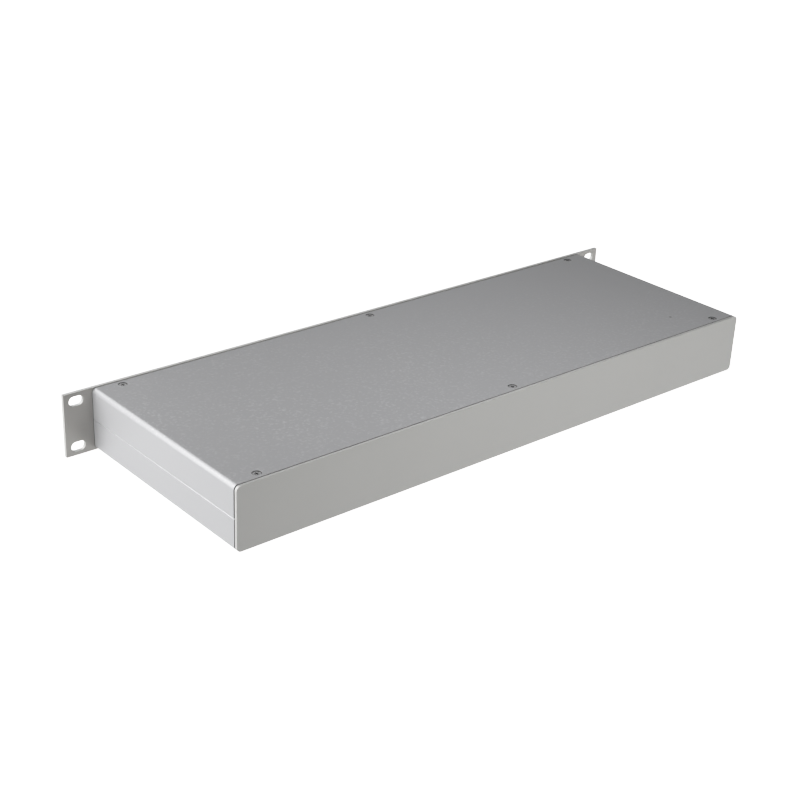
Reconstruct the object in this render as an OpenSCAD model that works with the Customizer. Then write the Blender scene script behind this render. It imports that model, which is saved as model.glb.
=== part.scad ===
// Low rack mount case: a slotted front panel, a flat rear panel and two folded covers that meet
// half way up the sides. Brackets on the panels take the screws of both covers.
// All sizes are in millimetres. X runs along the front panel, Y from front to rear, and Z up.
// The origin is the middle of the four rack slots, on the back face of the front panel.

/* [Front panel] */
// Width of the front panel, ears included
panel_w = 482.6; // [300:0.1:600]
// Height of the front panel
panel_h = 43.6; // [38:0.1:90]
// Thickness of the front panel
panel_t = 2.5; // [1.5:0.1:5]
// From the end of the panel to the middle of a rack slot
slot_inset = 8.75; // [6:0.05:15]
// From the top or the bottom of the panel to the middle of a rack slot
slot_edge = 5.925; // [4:0.005:18]
// Length of a rack slot, end to end
slot_len = 10.3; // [7:0.1:16]
// Width of a rack slot
slot_w = 6.8; // [4:0.1:10]

/* [Body] */
// How far each ear of the front panel reaches past the side of the body
ear_w = 20.3; // [15:0.1:60]
// How far the front panel reaches past the top and the bottom of the body
lip_h = 0.5; // [0:0.1:2]
// Clear depth between the front and the rear panel
body_d = 157.5; // [60:0.5:400]
// Thickness of the rear panel
rear_t = 2; // [1:0.1:4]
// Thickness of the covers' sheet
sheet_t = 1.5; // [0.8:0.1:2.5]
// Inner radius of the covers' bends
bend_r = 1.5; // [0.5:0.1:4]

/* [Gaps between the covers and their neighbours] */
// Gap between the front panel and the covers
front_gap = 0.2; // [0.1:0.1:1.5]
// Gap between the rear panel and the flat faces of the covers
rear_gap = 0.6; // [0.1:0.1:1.5]
// Gap between the rear panel and the folded sides of the top cover
top_side_gap = 0.9; // [0.1:0.1:2]
// Gap between the rear panel and the folded sides of the bottom cover
bottom_side_gap = 0.7; // [0.1:0.1:2]
// Gap between the two covers at their seam
seam_gap = 0.1; // [0.05:0.05:1]
// How far the seam lies below the middle of the body
seam_drop = 0; // [-8:0.1:8]
// Chamfer along the seam on the outer edges of the bottom cover
seam_chamfer = 0.6; // [0.1:0.1:1.2]

/* [Brackets] */
// Width of a bracket along its panel
bracket_w = 20; // [12:0.5:34]
// Depth of a bracket, from its panel to the ends of its flanges
bracket_d = 11; // [9:0.5:25]
// Thickness of the web that lies on the panel
web_t = 2; // [1:0.1:2.5]
// Thickness of the tapped flanges
flange_t = 3; // [2:0.1:4]
// Radius of the two inner corners
bracket_fillet = 1; // [0.2:0.1:1.5]
// From the side of the body to the middle of the outer brackets
bracket_inset = 19; // [18:0.5:60]

/* [Cover screws] */
// Thread diameter
screw_d = 3; // [2.5:0.1:3.5]
// Length of a screw, head included
screw_len = 6; // [5:0.1:8]
// Diameter of the countersunk head
head_d = 5.2; // [5:0.1:5.9]
// Diameter of the countersink at the face of a cover
countersink_d = 6; // [5.7:0.1:6.6]
// From the inner face of a panel to the middle of a screw
screw_inset = 5.5; // [5.2:0.1:7.5]
// Span of the cross recess in the head
recess_span = 3; // [2:0.1:3.4]
// Width of each arm of the cross recess
recess_arm = 0.8; // [0.4:0.05:1.2]
// Depth of the cross recess
recess_depth = 1.3; // [0.6:0.1:1.8]
// Chamfer at the end of a screw or a stud
tip_chamfer = 0.4; // [0.1:0.1:0.8]

/* [Panel studs] */
// Thread diameter
stud_d = 3; // [2.5:0.1:4]
// Length of a stud, from its panel
stud_len = 8; // [6:0.5:12]
// Diameter of the weld flange at the foot of a stud
stud_foot_d = 4.5; // [4.1:0.1:6]
// Thickness of the weld flange
stud_foot_t = 0.8; // [0.4:0.1:1.9]
// From the inner face of a bracket's flange to the middle of its stud
stud_edge = 8; // [7:0.1:9]
// Diameter of a washer
washer_d = 9; // [7.5:0.1:10]
// Thickness of a washer
washer_t = 0.8; // [0.4:0.1:1]
// Size of a nut across its flats
nut_flats = 5.5; // [5:0.1:7]
// Height of a nut
nut_h = 2.4; // [1.6:0.1:3]

/* [Clearances] */
// Radial clearance of a screw in the hole of a cover
hole_gap = 0.15; // [0.05:0.05:0.3]
// Radial clearance between a thread and its nut or tapped hole
thread_gap = 0.05; // [0.02:0.01:0.1]
// Radial clearance of a washer on its stud
washer_gap = 0.1; // [0.05:0.05:0.3]
// Radial clearance of a stud's foot in the web of a bracket
foot_gap = 0.25; // [0.1:0.05:0.5]
// Clearance between a screw's head and its countersink
seat_gap = 0.05; // [0.02:0.01:0.1]

/* [Hidden] */
$fn = 64;

// The two faces that a piece can belong to, and the two panels
TOP = 1;
BOTTOM = -1;
FRONT = 1;
REAR = -1;

// How far a cut reaches past the face that it opens
over = 1;

// Width and height of the closed body, over both covers
body_w = panel_w - 2 * ear_w;
body_h = panel_h - 2 * lip_h;

// The middle of each bracket along X: left, centre and right as seen from the front
outer_x = body_w / 2 - bracket_inset;
bracket_xs = [-outer_x, 0, outer_x];

slot_x = panel_w / 2 - slot_inset;
slot_z = panel_h / 2 - slot_edge;
outer_r = bend_r + sheet_t;
bracket_h = body_h - 2 * sheet_t;
bracket_inner_h = bracket_h - 2 * flange_t;
stud_z = bracket_inner_h / 2 - stud_edge;
hole_d = screw_d + 2 * hole_gap;
tapped_d = screw_d + 2 * thread_gap;

// A right-angled countersink narrows by its depth on each side, so the head rests this far down in it
head_sink = (countersink_d - head_d) / 2 - seat_gap;
head_h = (head_d - screw_d) / 2;

// Colours, as the photograph shows them
PANEL_COLOUR = [0.66, 0.66, 0.64];
COVER_COLOUR = [0.70, 0.70, 0.70];
BRACKET_COLOUR = [0.60, 0.61, 0.62];
SCREW_COLOUR = [0.68, 0.68, 0.68];
STUD_COLOUR = [0.64, 0.62, 0.58];

// Y of the inner face of a panel
function panel_y(end) = end == FRONT ? 0 : body_d;

// Y of the row of screws next to a panel
function row_y(end) = panel_y(end) + end * screw_inset;

// Rectangle with round corners, centred on the origin
module rounded_rect(w, h, r) {
    square([w - 2 * r, h], center = true);
    square([w, h - 2 * r], center = true);
    for (sx = [-1, 1], sz = [-1, 1])
        translate([sx * (w / 2 - r), sz * (h / 2 - r)]) circle(r);
}

// Turns a drawing in X and Z into a plate from y to y + t
module plate(y, t) {
    translate([0, y + t, 0]) rotate([90, 0, 0]) linear_extrude(t) children();
}

// Outline of one rack slot, centred on the origin
module slot_outline() {
    straight = slot_len - slot_w;
    square([straight, slot_w], center = true);
    for (s = [-1, 1])
        translate([s * straight / 2, 0]) circle(d = slot_w);
}

// Section of the sheet round the whole body, before the seam parts it into two covers
module body_section() {
    difference() {
        rounded_rect(body_w, body_h, outer_r);
        rounded_rect(body_w - 2 * sheet_t, body_h - 2 * sheet_t, bend_r);
    }
}

// Z of a cover's edges along the seam
function seam_z(side) = -seam_drop + side * seam_gap / 2;

// The part of the section that one cover takes, above or below the seam
module cover_section(side) {
    low_z = side == TOP ? seam_z(TOP) : seam_z(BOTTOM) - body_h;
    intersection() {
        body_section();
        translate([-body_w / 2, low_z]) square([body_w, body_h]);
    }
}

// The bottom cover's section, with its outer edges along the seam chamfered
module bottom_section() {
    difference() {
        cover_section(BOTTOM);
        for (x = [-body_w / 2, body_w / 2])
            translate([x, seam_z(BOTTOM)]) rotate(45) square(seam_chamfer * sqrt(2), center = true);
    }
}

// Puts children at the screws of one row, on the face of a cover, with their +Z pointing out of it
module at_screws(side, end) {
    for (x = bracket_xs)
        translate([x, row_y(end), side * body_h / 2]) rotate([side == TOP ? 0 : 180, 0, 0]) children();
}

// Puts children at the studs of one panel, on its inner face, with their +Z pointing into the body
module at_studs(end) {
    for (x = bracket_xs, z = [-stud_z, stud_z])
        translate([x, panel_y(end), z]) rotate([-90 * end, 0, 0]) children();
}

// Right-angled cone of a countersink, cut down from the face at z = 0 to the given diameter
module countersink_cone(low_d) {
    depth = (countersink_d - low_d) / 2;
    translate([0, 0, -depth]) cylinder(d1 = low_d, d2 = countersink_d + 2 * over, h = depth + over);
}

// Countersunk hole through a cover
module cover_hole() {
    countersink_cone(hole_d);
    translate([0, 0, -sheet_t - over]) cylinder(d = hole_d, h = sheet_t + 2 * over);
}

// What is cut from the rear end of a cover's bends and folded sides
module side_cut(side_gap) {
    plate(body_d - side_gap, side_gap)
        for (x = [-body_w / 2, body_w / 2])
            translate([x, 0]) square([2 * outer_r, body_h + 2 * over], center = true);
}

// One cover, folded to the section given as its child, with its two rows of countersunk holes
module cover(side, side_gap) {
    difference() {
        plate(front_gap, body_d - front_gap - rear_gap) children();
        side_cut(side_gap);
        for (end = [FRONT, REAR]) at_screws(side, end) cover_hole();
    }
}

// Section of a bracket in Y and Z, with its web on the line y = 0
module bracket_section() {
    difference() {
        translate([0, -bracket_h / 2]) square([bracket_d, bracket_h]);
        translate([bracket_d, 0])
            rounded_rect(2 * (bracket_d - web_t), bracket_inner_h, bracket_fillet);
    }
}

// One bracket at the origin, with its web on a panel's inner face and its flanges along +Y
module bracket_shape() {
    difference() {
        translate([-bracket_w / 2, 0, 0]) rotate([90, 0, 90]) linear_extrude(bracket_w) bracket_section();
        for (z = [-stud_z, stud_z])
            translate([0, -over, z]) rotate([-90, 0, 0])
                cylinder(d = stud_foot_d + 2 * foot_gap, h = web_t + 2 * over);
        translate([0, screw_inset, -body_h / 2]) cylinder(d = tapped_d, h = body_h);
        for (side = [TOP, BOTTOM])
            translate([0, screw_inset, side * body_h / 2]) rotate([side == TOP ? 0 : 180, 0, 0])
                countersink_cone(tapped_d);
    }
}

// One bracket in its place on a panel
module bracket(x, end) {
    color(BRACKET_COLOUR)
        translate([x, panel_y(end), 0]) rotate([0, 0, end == FRONT ? 0 : 180]) bracket_shape();
}

// Cross recess that narrows to a point, cut down from the face of a head at z = 0
module cross_recess() {
    intersection() {
        translate([0, 0, -recess_depth]) linear_extrude(recess_depth + over) {
            square([recess_span, recess_arm], center = true);
            square([recess_arm, recess_span], center = true);
        }
        translate([0, 0, -recess_depth])
            cylinder(d1 = recess_arm, d2 = recess_span, h = recess_depth);
    }
}

// Countersunk screw, hanging from the face of a cover at z = 0
module screw() {
    r = screw_d / 2;
    translate([0, 0, -head_sink]) difference() {
        rotate_extrude() polygon([
            [0, 0], [head_d / 2, 0], [r, -head_h], [r, tip_chamfer - screw_len],
            [r - tip_chamfer, -screw_len], [0, -screw_len]
        ]);
        cross_recess();
    }
}

// One row of cover screws
module screw_row(side, end) {
    color(SCREW_COLOUR) at_screws(side, end) screw();
}

// Weld stud that stands on a panel at z = 0
module stud() {
    r = stud_d / 2;
    rotate_extrude() polygon([
        [0, 0], [stud_foot_d / 2, 0], [stud_foot_d / 2, stud_foot_t], [r, stud_foot_t],
        [r, stud_len - tip_chamfer], [r - tip_chamfer, stud_len], [0, stud_len]
    ]);
}

// Washer on the web of a bracket
module washer() {
    translate([0, 0, web_t]) difference() {
        cylinder(d = washer_d, h = washer_t);
        translate([0, 0, -over]) cylinder(d = stud_d + 2 * washer_gap, h = washer_t + 2 * over);
    }
}

// Hexagon nut on a washer, with the corners of both faces turned down
module nut() {
    flat_r = nut_flats / 2;
    corner_r = flat_r / cos(30);
    bevel_h = (corner_r - flat_r) * tan(30);
    translate([0, 0, web_t + washer_t]) difference() {
        intersection() {
            cylinder(r = corner_r, h = nut_h, $fn = 6);
            rotate_extrude() polygon([
                [0, 0], [flat_r, 0], [corner_r, bevel_h],
                [corner_r, nut_h - bevel_h], [flat_r, nut_h], [0, nut_h]
            ]);
        }
        translate([0, 0, -over]) cylinder(d = stud_d + 2 * thread_gap, h = nut_h + 2 * over);
    }
}

module front_panel() {
    color(PANEL_COLOUR) plate(-panel_t, panel_t) difference() {
        square([panel_w, panel_h], center = true);
        for (x = [-slot_x, slot_x], z = [-slot_z, slot_z])
            translate([x, z]) slot_outline();
    }
}

module rear_panel() {
    color(PANEL_COLOUR) plate(body_d, rear_t) rounded_rect(body_w, body_h, outer_r);
}

module top_cover() {
    color(COVER_COLOUR) cover(TOP, top_side_gap) cover_section(TOP);
}

module bottom_cover() {
    color(COVER_COLOUR) cover(BOTTOM, bottom_side_gap) bottom_section();
}

module front_left_bracket() {
    bracket(-outer_x, FRONT);
}

module front_centre_bracket() {
    bracket(0, FRONT);
}

module front_right_bracket() {
    bracket(outer_x, FRONT);
}

module rear_left_bracket() {
    bracket(-outer_x, REAR);
}

module rear_centre_bracket() {
    bracket(0, REAR);
}

module rear_right_bracket() {
    bracket(outer_x, REAR);
}

module top_front_screws() {
    screw_row(TOP, FRONT);
}

module top_rear_screws() {
    screw_row(TOP, REAR);
}

module bottom_front_screws() {
    screw_row(BOTTOM, FRONT);
}

module bottom_rear_screws() {
    screw_row(BOTTOM, REAR);
}

module front_studs() {
    color(STUD_COLOUR) at_studs(FRONT) stud();
}

module rear_studs() {
    color(STUD_COLOUR) at_studs(REAR) stud();
}

module front_washers() {
    color(SCREW_COLOUR) at_studs(FRONT) washer();
}

module rear_washers() {
    color(SCREW_COLOUR) at_studs(REAR) washer();
}

module front_nuts() {
    color(SCREW_COLOUR) at_studs(FRONT) nut();
}

module rear_nuts() {
    color(SCREW_COLOUR) at_studs(REAR) nut();
}

front_panel();
rear_panel();
top_cover();
bottom_cover();
front_left_bracket();
front_centre_bracket();
front_right_bracket();
rear_left_bracket();
rear_centre_bracket();
rear_right_bracket();
top_front_screws();
top_rear_screws();
bottom_front_screws();
bottom_rear_screws();
front_studs();
rear_studs();
front_washers();
rear_washers();
front_nuts();
rear_nuts();
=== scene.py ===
import math

import bpy
from mathutils import Matrix, Vector


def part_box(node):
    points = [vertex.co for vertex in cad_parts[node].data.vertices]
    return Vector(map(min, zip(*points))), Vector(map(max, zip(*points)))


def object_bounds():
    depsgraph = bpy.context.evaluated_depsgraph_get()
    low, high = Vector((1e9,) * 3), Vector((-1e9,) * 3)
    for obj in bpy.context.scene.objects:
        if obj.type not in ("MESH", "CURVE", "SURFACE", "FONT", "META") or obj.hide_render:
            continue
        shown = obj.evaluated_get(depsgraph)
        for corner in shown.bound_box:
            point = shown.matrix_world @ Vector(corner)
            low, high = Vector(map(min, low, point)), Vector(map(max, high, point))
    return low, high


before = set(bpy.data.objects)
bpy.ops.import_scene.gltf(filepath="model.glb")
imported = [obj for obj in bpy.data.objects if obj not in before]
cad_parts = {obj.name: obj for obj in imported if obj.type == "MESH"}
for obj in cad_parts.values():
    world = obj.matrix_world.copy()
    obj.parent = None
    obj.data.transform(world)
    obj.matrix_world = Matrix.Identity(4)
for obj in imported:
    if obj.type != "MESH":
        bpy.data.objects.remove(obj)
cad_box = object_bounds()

MM = 0.001


def grey(level):
    """An opaque neutral colour."""
    return (level, level, level, 1.0)


# Sizes of the case that the finishes follow. The rear panel has the outline of the body.
rear_low, rear_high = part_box("rear_panel")
BODY_WIDTH = rear_high.x - rear_low.x
BODY_HEIGHT = rear_high.z - rear_low.z
INSIDE_DEPTH = rear_low.y
TOP_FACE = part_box("top_cover")[1].z

# Camera: where it stands, seen from the case, and what it looks at. Angles are in degrees.
CAMERA_AZIMUTH = 138.80
CAMERA_ELEVATION = 25.43
CAMERA_ROLL = 2.50
CAMERA_DISTANCE = 1.04
CAMERA_TARGET = Vector((21.85, 67.02, -15.68)) * MM
CAMERA_LENS_MM = 68.03
CAMERA_SENSOR_MM = 36.0

# Floor and the backdrop round it: width in metres, paint, and how strongly each glows
FLOOR_SIZE = 40.0
FLOOR_COLOUR = grey(0.90)
FLOOR_ROUGHNESS = 0.9
FLOOR_GLOW = 1.30
BACKDROP_GLOW = 1.80

# Room light: soft cards far away, all round the scene. A card's turn goes from the front towards +X
# and its height up from the horizon. It is bright within one angle and has faded out at another.
# Angles are in degrees.
ROOM_CARDS = {
    "left_high": {"turn": 85, "height": 25, "bright": 15, "faded": 50, "strength": 1.28},
    "left_low": {"turn": 90, "height": -30, "bright": 20, "faded": 55, "strength": 1.04},
    "front_left": {"turn": 40, "height": 8, "bright": 8, "faded": 28, "strength": 0.65},
    "front_high": {"turn": 18, "height": 40, "bright": 8, "faded": 28, "strength": 1.14},
    "front": {"turn": 0, "height": 22, "bright": 8, "faded": 28, "strength": 1.28},
    "front_low": {"turn": -5, "height": -50, "bright": 20, "faded": 50, "strength": 0.79},
    "front_right": {"turn": -30, "height": 15, "bright": 8, "faded": 26, "strength": 0.20},
    "right_low": {"turn": -90, "height": -40, "bright": 20, "faded": 50, "strength": 1.34},
    "rear_low": {"turn": -135, "height": -28, "bright": 8, "faded": 28, "strength": 1.32},
    "rear": {"turn": 180, "height": -18, "bright": 8, "faded": 26, "strength": 0.50},
}

# Near softboxes: place and width in metres, and how bright the square face is, each aimed at the case
LIGHT_AIM = Vector((0.0, 0.1, 0.0))
SOFTBOXES = {
    "over_rear": {"place": Vector((0.0, 0.25, 0.35)), "size": 0.30, "brightness": 2.63},
    "front_left_box": {"place": Vector((0.45, -0.10, 0.30)), "size": 0.25, "brightness": 1.35},
    "left_box": {"place": Vector((0.40, 0.00, 0.08)), "size": 0.25, "brightness": 1.14},
}

# Highlights: light as it comes in, and how bright it is shown, so that nothing pale turns flat white
TONE_CURVE = ((0.0, 0.0), (0.35, 0.35), (0.70, 0.70), (1.0, 0.90), (1.45, 1.0))

# Number of the tone curve that acts on red, green and blue alike
ALL_CHANNELS = 3

# How fine the noise of a finish gets: on the covers, on bare or plated metal, and elsewhere
COVER_DETAIL = 4.0
METAL_DETAIL = 3.0
PLAIN_DETAIL = 2.0

# How squarely a surface faces along an axis, from 0 to 1, to count as a face that looks that way
COVER_FLAT = 0.8
COVER_END = 0.9
PANEL_FACE = 0.7
HEAD_FACE = 0.9

# Satin covers
COVER_COLOUR = (0.585, 0.587, 0.599, 1.0)
COVER_METALLIC = 0.35
COVER_ROUGHNESS = (0.33, 0.39)
COVER_GRAIN_SIZE = 2.0 * MM
COVER_GRAIN_DEPTH = 0.05 * MM

# Light flecks on the covers: the part of the grain that they take up, the patches that they lie in,
# and the direction along which they grow from none to full
FLECK_COLOUR = (0.740, 0.742, 0.756, 1.0)
FLECK_RANGE = (0.52, 0.72)
FLECK_PATCH_SIZE = 70 * MM
FLECK_PATCH_RANGE = (0.10, 0.65)
FLECK_GROWTH_AXIS = (1.0, 2.0, 0.0)
FLECK_GROWTH_RANGE = (-150 * MM, 330 * MM)

# Painted shade on the covers: on the cut ends seen in the gaps, darker on the hole walls. The holes lie in
# the flat, away from the folded sides.
CUT_END_SHADE_COLOUR = grey(0.12)
HOLE_SHADE_COLOUR = grey(0.015)
HOLE_REACH = BODY_WIDTH / 2 - 6 * MM

# Small mark on the top cover
MARK_PLACE = Vector((-178.3 * MM, 132.5 * MM, TOP_FACE))
MARK_RADIUS = 1.5 * MM
MARK_COLOUR = grey(0.14)

# Anodised panels: the range of the faces' colour, and the colours of the long edges and the ends
FRONT_PANEL = {
    # The front panel's faces are darker than the rear panel's as painted shade on the ears
    "dark": (0.493, 0.482, 0.460, 1.0),
    "light": (0.530, 0.518, 0.496, 1.0),
    # Bare metal; the long edges are painted lighter than the ends, as a painted highlight on the long
    # edges
    "edge": (0.80, 0.80, 0.79, 1.0),
    "end": (0.58, 0.58, 0.57, 1.0),
}
REAR_PANEL = {
    "dark": (0.528, 0.527, 0.510, 1.0),
    "light": (0.568, 0.567, 0.550, 1.0),
    "edge": (0.62, 0.62, 0.61, 1.0),
    "end": (0.62, 0.62, 0.61, 1.0),
}
PANEL_METALLIC = 0.2
PANEL_ROUGHNESS = (0.37, 0.43)
PANEL_GRAIN_SIZE = 0.5 * MM
PANEL_GRAIN_DEPTH = 0.004 * MM
PANEL_CLOUD_SIZE = 40 * MM
PANEL_CLOUD_SHARE = 0.5
EDGE_ROUGHNESS = 0.38

# Painted shade on the inner faces of the panels: the outline of the body, a little wider, with its round
# corners, so that a thin painted shade line shows where the ears meet the covers. It reaches a little past
# the two inner faces.
SHADE_COLOUR = grey(0.06)
SHADE_WIDTH = BODY_WIDTH + 0.2 * MM
SHADE_CORNER = 3.0 * MM
SHADE_PAST = 0.3 * MM

# Depth of the grain on bare and plated metal
METAL_GRAIN_DEPTH = 0.01 * MM

# Plated screws, washers and nuts
PLATED_DARK = (0.78, 0.78, 0.785, 1.0)
PLATED_LIGHT = (0.96, 0.96, 0.965, 1.0)
PLATED_METALLIC = 0.7
PLATED_ROUGHNESS = (0.22, 0.32)
PLATED_GRAIN_SIZE = 0.4 * MM
# Painted shade in the screws' recesses, on every plated surface that doesn't face straight up or down
RECESS_SHADE_COLOUR = grey(0.06)

# Bare metal of the brackets and studs inside the case
BRACKET_METAL = {
    "dark": (0.50, 0.51, 0.52, 1.0),
    "light": (0.60, 0.61, 0.62, 1.0),
    "roughness": (0.38, 0.50),
    "grain_size": 1.2 * MM,
}
STUD_METAL = {
    "dark": (0.52, 0.50, 0.47, 1.0),
    "light": (0.62, 0.60, 0.57, 1.0),
    "roughness": (0.30, 0.40),
    "grain_size": 0.5 * MM,
}


def direction(turn, height):
    """Unit vector away from the case: degrees from the front towards +X, and degrees above the horizon."""
    turn = math.radians(turn)
    height = math.radians(height)
    return Vector((
        math.sin(turn) * math.cos(height),
        -math.cos(turn) * math.cos(height),
        math.sin(height),
    ))


class Nodes:
    """Adds shader nodes to a node tree."""

    def __init__(self, tree):
        self.tree = tree

    def add(self, kind, inputs=None, **settings):
        """Adds a node. An input is set to a value, or linked where it is given a socket."""
        made = self.tree.nodes.new(kind)
        for name, value in settings.items():
            setattr(made, name, value)
        for name, value in (inputs or {}).items():
            self.set(made.inputs[name], value)
        return made

    def set(self, socket, value):
        """Sets a socket to a value, or links it to another socket."""
        if isinstance(value, bpy.types.NodeSocket):
            self.tree.links.new(value, socket)
        else:
            socket.default_value = value

    def math(self, operation, a, b=0.0):
        """A number worked out from one or two others."""
        return self.add("ShaderNodeMath", {0: a, 1: b}, operation=operation).outputs["Value"]

    def vector_math(self, operation, a, b=(0.0, 0.0, 0.0), result="Vector"):
        """A vector worked out from one or two others, or a number where the result is Value."""
        return self.add("ShaderNodeVectorMath", {0: a, 1: b}, operation=operation).outputs[result]


class Finish(Nodes):
    """A material in the making, with the patterns that the finishes below share."""

    def __init__(self, name):
        self.material = bpy.data.materials.new(name)
        self.material.use_nodes = True
        super().__init__(self.material.node_tree)
        self.shader = self.tree.nodes["Principled BSDF"]
        self.place = self.add("ShaderNodeTexCoord").outputs["Object"]

    def noise(self, size, detail=PLAIN_DETAIL):
        """Soft noise whose blotches are about as wide as size."""
        made = self.add("ShaderNodeTexNoise", {"Vector": self.place, "Scale": 1 / size, "Detail": detail})
        return made.outputs["Fac"]

    def along(self, vector, axis):
        """One axis of a vector, without its sign."""
        return self.math("ABSOLUTE", self.add("ShaderNodeSeparateXYZ", {"Vector": vector}).outputs[axis])

    def facing(self, axis):
        """How squarely the surface itself faces along an axis, either way."""
        return self.along(self.add("ShaderNodeNewGeometry").outputs["True Normal"], axis)

    def span(self, value, low, high):
        """Maps a value from 0 to 1 to a value from low to high."""
        made = self.add("ShaderNodeMapRange", {"Value": value, "To Min": low, "To Max": high})
        return made.outputs["Result"]

    def stretch(self, value, low, high):
        """Maps a value from low to high to a value from 0 to 1."""
        made = self.add("ShaderNodeMapRange", {"Value": value, "From Min": low, "From Max": high})
        return made.outputs["Result"]

    def mix(self, factor, a, b):
        """A colour that goes from a to b as the factor goes from 0 to 1."""
        return self.between("RGBA", "Color", factor, a, b)

    def blend(self, factor, a, b):
        """A number that goes from a to b as the factor goes from 0 to 1."""
        return self.between("FLOAT", "Float", factor, a, b)

    def between(self, data_type, ending, factor, a, b):
        """Mixes two colours or numbers. The ending is that of the node's sockets for such data."""
        made = self.add("ShaderNodeMix", data_type=data_type)
        inputs = {socket.identifier: socket for socket in made.inputs}
        outputs = {socket.identifier: socket for socket in made.outputs}
        self.set(inputs["Factor_Float"], factor)
        self.set(inputs["A_" + ending], a)
        self.set(inputs["B_" + ending], b)
        return outputs["Result_" + ending]

    def bump(self, height, depth):
        """Surface normal of a relief as high as depth."""
        return self.add("ShaderNodeBump", {"Height": height, "Distance": depth}).outputs["Normal"]

    def finish(self, **inputs):
        """Links or sets the shader's own sockets, named with underscores for spaces."""
        for name, value in inputs.items():
            self.set(self.shader.inputs[name.replace("_", " ")], value)
        return self.material


def flecked_sheet(made, grain):
    """The colour of a cover's sheet, with light flecks on its flat faces."""
    growth = made.vector_math("DOT_PRODUCT", made.place, FLECK_GROWTH_AXIS, "Value")
    flecks = made.stretch(grain, *FLECK_RANGE)
    for share in (
        made.stretch(made.noise(FLECK_PATCH_SIZE), *FLECK_PATCH_RANGE),
        made.stretch(growth, *FLECK_GROWTH_RANGE),
        made.facing("Z"),
    ):
        flecks = made.math("MULTIPLY", flecks, share)
    return made.mix(flecks, COVER_COLOUR, FLECK_COLOUR)


def small_mark(made, sheet):
    """The colour of a cover's sheet with the small dark mark on it."""
    away = made.vector_math("DISTANCE", made.place, MARK_PLACE, "Value")
    clean = made.math("MINIMUM", made.math("DIVIDE", away, MARK_RADIUS), 1.0)
    return made.mix(clean, MARK_COLOUR, sheet)


def shaded_cut_edges(made, sheet):
    """The colour of a cover's sheet with painted shade on its cut ends and darker painted shade on its
    hole walls.
    """
    in_flat = made.math("LESS_THAN", made.along(made.place, "X"), HOLE_REACH)
    is_wall = made.math("LESS_THAN", made.facing("Z"), COVER_FLAT)
    is_end = made.math("GREATER_THAN", made.facing("Y"), COVER_END)
    # Painted shade on the hole walls, then on the cut ends
    with_hole_shade = made.mix(made.math("MULTIPLY", in_flat, is_wall), sheet, HOLE_SHADE_COLOUR)
    return made.mix(is_end, with_hole_shade, CUT_END_SHADE_COLOUR)


def cover_finish():
    """Satin aluminium sheet."""
    made = Finish("cover_satin")
    grain = made.noise(COVER_GRAIN_SIZE, COVER_DETAIL)
    marked = small_mark(made, flecked_sheet(made, grain))
    return made.finish(
        Base_Color=shaded_cut_edges(made, marked),
        Metallic=COVER_METALLIC,
        Roughness=made.span(grain, *COVER_ROUGHNESS),
        Normal=made.bump(grain, COVER_GRAIN_DEPTH),
    )


def inside_body(made):
    """1 on what lies within the shade's outline, between the panels' inner faces, and 0 elsewhere."""
    middle = Vector((0.0, INSIDE_DEPTH / 2, 0.0))
    core = Vector((SHADE_WIDTH / 2 - SHADE_CORNER, INSIDE_DEPTH / 2, BODY_HEIGHT / 2 - SHADE_CORNER))
    weights = Vector((1.0, SHADE_CORNER / SHADE_PAST, 1.0))
    from_middle = made.vector_math("ABSOLUTE", made.vector_math("SUBTRACT", made.place, middle))
    past_core = made.vector_math("MAXIMUM", made.vector_math("SUBTRACT", from_middle, core))
    reach = made.vector_math("LENGTH", made.vector_math("MULTIPLY", past_core, weights), result="Value")
    return made.math("LESS_THAN", reach, SHADE_CORNER)


def panel_finish(name, colours):
    """Grey anodised plate with painted shade on its inner face, and bare metal on its long edges and at
    its ends. Long edges lighter than the ends are a painted highlight.
    """
    made = Finish(name)
    grain = made.noise(PANEL_GRAIN_SIZE)
    cloud = made.noise(PANEL_CLOUD_SIZE)
    face = made.mix(made.blend(PANEL_CLOUD_SHARE, grain, cloud), colours["dark"], colours["light"])
    # Painted shade on the inner face and just round it
    shown = made.mix(inside_body(made), face, SHADE_COLOUR)
    # Long edges take the edge colour and ends the end colour; a lighter edge colour is a painted highlight
    edge = made.mix(made.facing("Z"), colours["end"], colours["edge"])
    is_face = made.math("GREATER_THAN", made.facing("Y"), PANEL_FACE)
    return made.finish(
        Base_Color=made.mix(is_face, edge, shown),
        Metallic=PANEL_METALLIC,
        Roughness=made.blend(is_face, EDGE_ROUGHNESS, made.span(grain, *PANEL_ROUGHNESS)),
        Normal=made.bump(grain, PANEL_GRAIN_DEPTH),
    )


def plain_metal(name, dark, light, roughness, grain_size):
    """Bare metal with a fine uneven surface."""
    made = Finish(name)
    grain = made.noise(grain_size, METAL_DETAIL)
    return made.finish(
        Base_Color=made.mix(grain, dark, light),
        Metallic=1.0,
        Roughness=made.span(grain, *roughness),
        Normal=made.bump(grain, METAL_GRAIN_DEPTH),
    )


def plated_finish():
    """Bright plated steel with painted shade in the recesses of the screws, on every surface that doesn't
    face straight up or down.
    """
    made = Finish("plated_steel")
    grain = made.noise(PLATED_GRAIN_SIZE, METAL_DETAIL)
    face = made.mix(grain, PLATED_DARK, PLATED_LIGHT)
    is_face = made.math("GREATER_THAN", made.facing("Z"), HEAD_FACE)
    return made.finish(
        Base_Color=made.mix(is_face, RECESS_SHADE_COLOUR, face),
        Metallic=PLATED_METALLIC,
        Roughness=made.span(grain, *PLATED_ROUGHNESS),
        Normal=made.bump(grain, METAL_GRAIN_DEPTH),
    )


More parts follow.
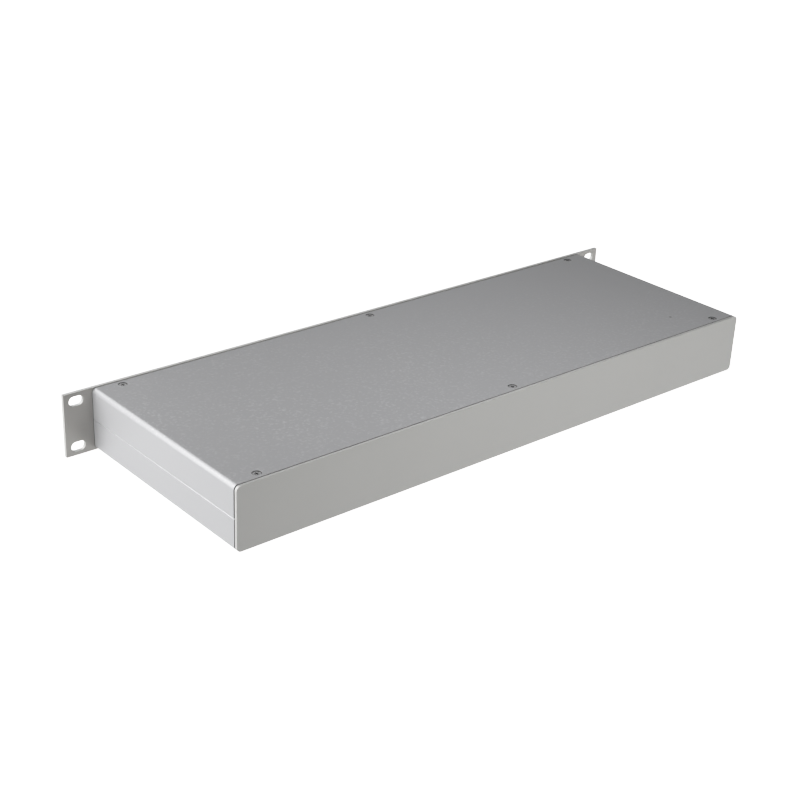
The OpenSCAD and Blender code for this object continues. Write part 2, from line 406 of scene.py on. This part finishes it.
def dress_nodes():
    """Gives each panel its own finish, and every other CAD node the finish of its material slot."""
    finishes = {
        "front_panel": panel_finish("front_panel_anodised", FRONT_PANEL),
        "rear_panel": panel_finish("rear_panel_anodised", REAR_PANEL),
        "cover_aluminium": cover_finish(),
        "bracket_aluminium": plain_metal("bracket_mill_finish", **BRACKET_METAL),
        "stud_aluminium": plain_metal("stud_metal", **STUD_METAL),
        "plated_steel": plated_finish(),
    }
    for name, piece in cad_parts.items():
        for holder in piece.material_slots:
            slot = holder.material.name
            holder.material = finishes[name if name in finishes else slot]


def set_stage(name, glow):
    """Paints the newest object and names it. Only the camera sees it, so room light passes it."""
    piece = bpy.context.object
    piece.name = name
    paint = Finish(name + "_paint").finish(
        Base_Color=FLOOR_COLOUR,
        Roughness=FLOOR_ROUGHNESS,
        Emission_Color=FLOOR_COLOUR,
        Emission_Strength=glow,
    )
    piece.data.materials.append(paint)
    piece.visible_diffuse = False
    piece.visible_glossy = False
    piece.visible_shadow = False


def add_floor():
    """A plain pale floor under the lowest edge of the case, and a pale backdrop all round."""
    lowest = cad_box[0].z
    bpy.ops.mesh.primitive_plane_add(size=FLOOR_SIZE, location=(0, 0, lowest))
    set_stage("floor", FLOOR_GLOW)
    bpy.ops.mesh.primitive_uv_sphere_add(radius=FLOOR_SIZE / 2)
    set_stage("backdrop", BACKDROP_GLOW)


def add_softboxes():
    """Small softboxes close to the case."""
    for name, box in SOFTBOXES.items():
        light = bpy.data.lights.new(name, "AREA")
        light.shape = "SQUARE"
        light.size = box["size"]
        light.energy = box["brightness"] * math.pi * box["size"] ** 2
        holder = bpy.data.objects.new(name, light)
        bpy.context.scene.collection.objects.link(holder)
        holder.location = box["place"]
        holder.rotation_euler = (LIGHT_AIM - box["place"]).to_track_quat("-Z", "Y").to_euler()
        holder.visible_camera = False


def add_room():
    """Soft studio light from all round, as the sum of the cards."""
    world = bpy.data.worlds.new("studio")
    world.use_nodes = True
    bpy.context.scene.world = world
    made = Nodes(world.node_tree)
    looking = made.add("ShaderNodeTexCoord").outputs["Generated"]
    light = 0.0
    for card in ROOM_CARDS.values():
        towards = direction(card["turn"], card["height"])
        glow = made.add("ShaderNodeMapRange", {
            "Value": made.vector_math("DOT_PRODUCT", looking, towards, "Value"),
            "From Min": math.cos(math.radians(card["faded"])),
            "From Max": math.cos(math.radians(card["bright"])),
            "To Max": card["strength"],
        }, interpolation_type="SMOOTHSTEP")
        light = made.math("ADD", glow.outputs["Result"], light)
    made.set(world.node_tree.nodes["Background"].inputs["Color"], light)


def add_camera():
    """Camera at the photograph's viewing angle."""
    lens = bpy.data.cameras.new("camera")
    lens.lens = CAMERA_LENS_MM
    lens.sensor_width = CAMERA_SENSOR_MM
    camera = bpy.data.objects.new("camera", lens)
    bpy.context.scene.collection.objects.link(camera)
    back = direction(CAMERA_AZIMUTH, CAMERA_ELEVATION)
    turn = back.to_track_quat("Z", "Y").to_matrix().to_4x4()
    roll = Matrix.Rotation(math.radians(CAMERA_ROLL), 4, "Z")
    camera.matrix_world = Matrix.Translation(CAMERA_TARGET + back * CAMERA_DISTANCE) @ turn @ roll
    bpy.context.scene.camera = camera


def set_tones():
    """Shows light as it is, with bright light rolled off softly."""
    view = bpy.context.scene.view_settings
    view.view_transform = "Standard"
    view.use_curve_mapping = True
    mapping = view.curve_mapping
    mapping.clip_max_x = TONE_CURVE[-1][0]
    points = mapping.curves[ALL_CHANNELS].points
    while len(points) < len(TONE_CURVE):
        # Any place will do here, because the next loop places every point
        points.new(*TONE_CURVE[1])
    for point, place in zip(points, TONE_CURVE):
        point.location = place
    mapping.update()


dress_nodes()
add_floor()
add_softboxes()
add_room()
add_camera()
set_tones()
